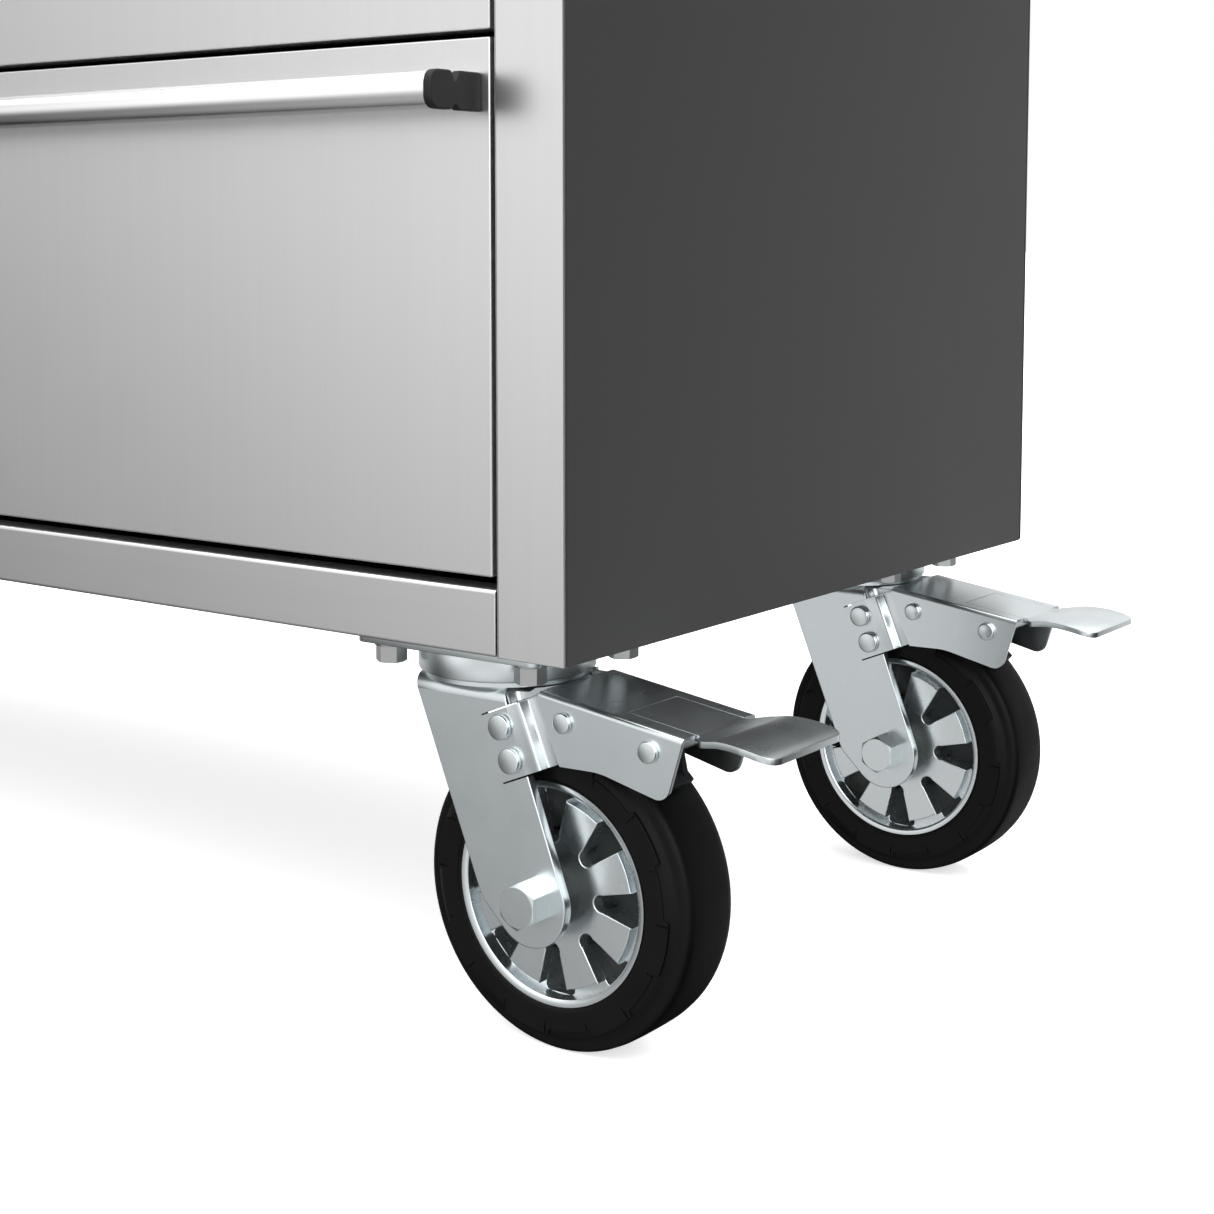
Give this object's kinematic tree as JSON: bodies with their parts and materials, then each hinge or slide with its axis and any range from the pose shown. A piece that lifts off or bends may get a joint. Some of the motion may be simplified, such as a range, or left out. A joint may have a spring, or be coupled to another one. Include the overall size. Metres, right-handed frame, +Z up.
{
  "type": "rolling tool chest",
  "caption": "Wide steel tool chest with full-width drawers on slides, tube handles, a tray top, a side push handle, a key lock and braked swivel casters.",
  "frame": {"origin": "on the floor, at the centre of the chest's box", "axes": "+Z up, -Y the drawer front, +X the side with the push handle"},
  "size_m": [1.2378, 0.4904, 0.9525],
  "materials": {
    "stainless": "vertically brushed stainless sheet",
    "stainless_tube": "satin tube",
    "dark_paint": "dark grey powder coat",
    "drawer_paint": "dark grey powder coat",
    "black_bracket": "moulded black",
    "zinc_plate": "bright blue zinc plate",
    "wheel_metal": "satin cast",
    "wheel_recess": "dark grey",
    "tyre": "black elastic rubber",
    "fastener_steel": "zinc plated",
    "slide_steel": "zinc plated",
    "lock_chrome": "bright chrome",
    "liner": "ribbed black mat"
  },
  "bodies": {
    "cabinet": {"side_panel_left": "dark_paint", "side_panel_right": "dark_paint", "back_panel": "dark_paint", "base_pan": "dark_paint", "corner_posts": "stainless", "bottom_rail": "stainless", "top_rail": "stainless", "top_tray": "stainless", "slide_uprights": "slide_steel", "slide_outer_members": "slide_steel", "caster_plates": "zinc_plate", "caster_bolts": "fastener_steel", "push_handle": "stainless_tube", "lock_body": "lock_chrome"},
    "lock_barrel": {"lock_barrel": "lock_chrome"},
    "lock_bar": {"lock_bar": "slide_steel"},
    "drawer_1": {"drawer_1_box": "drawer_paint", "drawer_1_front": "stainless", "drawer_1_handle": "stainless_tube"},
    "drawer_1_slides": {"drawer_1_slides": "slide_steel"},
    "drawer_2": {"drawer_2_box": "drawer_paint", "drawer_2_front": "stainless", "drawer_2_handle": "stainless_tube"},
    "drawer_2_slides": {"drawer_2_slides": "slide_steel"},
    "drawer_3": {"drawer_3_box": "drawer_paint", "drawer_3_front": "stainless", "drawer_3_handle": "stainless_tube"},
    "drawer_3_slides": {"drawer_3_slides": "slide_steel"},
    "drawer_4": {"drawer_4_box": "drawer_paint", "drawer_4_front": "stainless", "drawer_4_handle": "stainless_tube"},
    "drawer_4_slides": {"drawer_4_slides": "slide_steel"},
    "drawer_5": {"drawer_5_box": "drawer_paint", "drawer_5_front": "stainless", "drawer_5_handle": "stainless_tube"},
    "drawer_5_slides": {"drawer_5_slides": "slide_steel"},
    "caster_fl_swivel": {"caster_fl_fork": "zinc_plate", "caster_fl_brake_housing": "zinc_plate", "caster_fl_fasteners": "fastener_steel"},
    "caster_fl_pedal": {"caster_fl_pedal": "zinc_plate"},
    "caster_fl_wheel": {"caster_fl_rim": "wheel_metal", "caster_fl_tyre": "tyre"},
    "caster_fr_swivel": {"caster_fr_fork": "zinc_plate", "caster_fr_brake_housing": "zinc_plate", "caster_fr_fasteners": "fastener_steel"},
    "caster_fr_pedal": {"caster_fr_pedal": "zinc_plate"},
    "caster_fr_wheel": {"caster_fr_rim": "wheel_metal", "caster_fr_tyre": "tyre"},
    "caster_bl_swivel": {"caster_bl_fork": "zinc_plate", "caster_bl_brake_housing": "zinc_plate", "caster_bl_fasteners": "fastener_steel"},
    "caster_bl_pedal": {"caster_bl_pedal": "zinc_plate"},
    "caster_bl_wheel": {"caster_bl_rim": "wheel_metal", "caster_bl_tyre": "tyre"},
    "caster_br_swivel": {"caster_br_fork": "zinc_plate", "caster_br_brake_housing": "zinc_plate", "caster_br_fasteners": "fastener_steel"},
    "caster_br_pedal": {"caster_br_pedal": "zinc_plate"},
    "caster_br_wheel": {"caster_br_rim": "wheel_metal", "caster_br_tyre": "tyre"}
  },
  "joints": [
    {"name": "lock_turn", "type": "hinge", "parent": "cabinet", "child": "lock_barrel", "pos_m": [0.5148, -0.212, 0.9159], "axis": [0, 1, 0], "range_deg": [0, 90]},
    {"name": "lock_bar_drop", "type": "slide", "parent": "cabinet", "child": "lock_bar", "axis": [0, 0, -1], "range_m": [0, 0.012]},
    {"name": "drawer_1_pull", "type": "slide", "parent": "cabinet", "child": "drawer_1", "axis": [0, -1, 0], "range_m": [0, 0.38]},
    {"name": "drawer_1_slides_run", "type": "slide", "parent": "cabinet", "child": "drawer_1_slides", "axis": [0, -1, 0], "range_m": [0, 0.19]},
    {"name": "drawer_2_pull", "type": "slide", "parent": "cabinet", "child": "drawer_2", "axis": [0, -1, 0], "range_m": [0, 0.38]},
    {"name": "drawer_2_slides_run", "type": "slide", "parent": "cabinet", "child": "drawer_2_slides", "axis": [0, -1, 0], "range_m": [0, 0.19]},
    {"name": "drawer_3_pull", "type": "slide", "parent": "cabinet", "child": "drawer_3", "axis": [0, -1, 0], "range_m": [0, 0.38]},
    {"name": "drawer_3_slides_run", "type": "slide", "parent": "cabinet", "child": "drawer_3_slides", "axis": [0, -1, 0], "range_m": [0, 0.19]},
    {"name": "drawer_4_pull", "type": "slide", "parent": "cabinet", "child": "drawer_4", "axis": [0, -1, 0], "range_m": [0, 0.38]},
    {"name": "drawer_4_slides_run", "type": "slide", "parent": "cabinet", "child": "drawer_4_slides", "axis": [0, -1, 0], "range_m": [0, 0.19]},
    {"name": "drawer_5_pull", "type": "slide", "parent": "cabinet", "child": "drawer_5", "axis": [0, -1, 0], "range_m": [0, 0.38]},
    {"name": "drawer_5_slides_run", "type": "slide", "parent": "cabinet", "child": "drawer_5_slides", "axis": [0, -1, 0], "range_m": [0, 0.19]},
    {"name": "caster_fl_swivel_turn", "type": "hinge", "parent": "cabinet", "child": "caster_fl_swivel", "pos_m": [-0.4534, -0.1505, 0.17], "axis": [0, 0, 1], "continuous": true},
    {"name": "caster_fl_roll", "type": "hinge", "parent": "caster_fl_swivel", "child": "caster_fl_wheel", "pos_m": [-0.4946, -0.1505, 0.075], "axis": [0, 1, 0], "continuous": true},
    {"name": "caster_fl_pedal_press", "type": "hinge", "parent": "caster_fl_swivel", "child": "caster_fl_pedal", "pos_m": [-0.5555, -0.1505, 0.1521], "axis": [0, -1, 0], "range_deg": [0, 10]},
    {"name": "caster_fr_swivel_turn", "type": "hinge", "parent": "cabinet", "child": "caster_fr_swivel", "pos_m": [0.4534, -0.1505, 0.17], "axis": [0, 0, 1], "continuous": true},
    {"name": "caster_fr_roll", "type": "hinge", "parent": "caster_fr_swivel", "child": "caster_fr_wheel", "pos_m": [0.4946, -0.1505, 0.075], "axis": [0, 1, 0], "continuous": true},
    {"name": "caster_fr_pedal_press", "type": "hinge", "parent": "caster_fr_swivel", "child": "caster_fr_pedal", "pos_m": [0.5555, -0.1505, 0.1521], "axis": [0, 1, 0], "range_deg": [0, 10]},
    {"name": "caster_bl_swivel_turn", "type": "hinge", "parent": "cabinet", "child": "caster_bl_swivel", "pos_m": [-0.4534, 0.1837, 0.17], "axis": [0, 0, 1], "continuous": true},
    {"name": "caster_bl_roll", "type": "hinge", "parent": "caster_bl_swivel", "child": "caster_bl_wheel", "pos_m": [-0.4946, 0.1837, 0.075], "axis": [0, 1, 0], "continuous": true},
    {"name": "caster_bl_pedal_press", "type": "hinge", "parent": "caster_bl_swivel", "child": "caster_bl_pedal", "pos_m": [-0.5555, 0.1837, 0.1521], "axis": [0, -1, 0], "range_deg": [0, 10]},
    {"name": "caster_br_swivel_turn", "type": "hinge", "parent": "cabinet", "child": "caster_br_swivel", "pos_m": [0.4534, 0.1837, 0.17], "axis": [0, 0, 1], "continuous": true},
    {"name": "caster_br_roll", "type": "hinge", "parent": "caster_br_swivel", "child": "caster_br_wheel", "pos_m": [0.4946, 0.1837, 0.075], "axis": [0, 1, 0], "continuous": true},
    {"name": "caster_br_pedal_press", "type": "hinge", "parent": "caster_br_swivel", "child": "caster_br_pedal", "pos_m": [0.5555, 0.1837, 0.1521], "axis": [0, 1, 0], "range_deg": [0, 10]}
  ],
  "couplings": [
    {"joint": "lock_turn", "follows": "lock_bar_drop", "rad_per_m": 130.9},
    {"joint": "drawer_1_slides_run", "follows": "drawer_1_pull", "ratio": 0.5},
    {"joint": "drawer_2_slides_run", "follows": "drawer_2_pull", "ratio": 0.5},
    {"joint": "drawer_3_slides_run", "follows": "drawer_3_pull", "ratio": 0.5},
    {"joint": "drawer_4_slides_run", "follows": "drawer_4_pull", "ratio": 0.5},
    {"joint": "drawer_5_slides_run", "follows": "drawer_5_pull", "ratio": 0.5}
  ]
}
